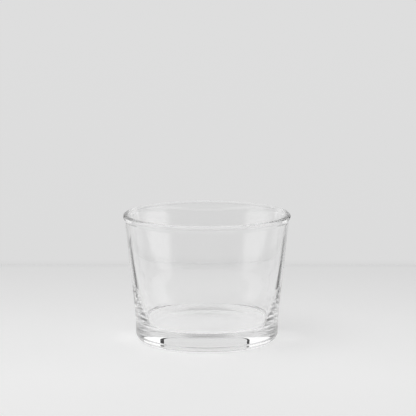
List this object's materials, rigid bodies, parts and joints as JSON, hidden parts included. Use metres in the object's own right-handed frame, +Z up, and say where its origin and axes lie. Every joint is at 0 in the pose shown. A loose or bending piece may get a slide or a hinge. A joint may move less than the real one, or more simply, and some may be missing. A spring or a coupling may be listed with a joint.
{
  "type": "cortado glass",
  "caption": "Short clear conical tumbler with a rounded rim bead, a wall that thickens towards a heavy base, an upright heel band and a rounded heel, for a cortado or another small drink.",
  "frame": {"origin": "centre of the foot, on the plane that the glass stands on", "axes": "+Z up along the axis of the glass; it is round, so X and Y are any two level directions"},
  "size_m": [0.082, 0.082, 0.0627],
  "materials": {
    "clear_glass": "clear, fire-polished"
  },
  "bodies": {
    "root": {"glass": "clear_glass"}
  },
  "joints": []
}
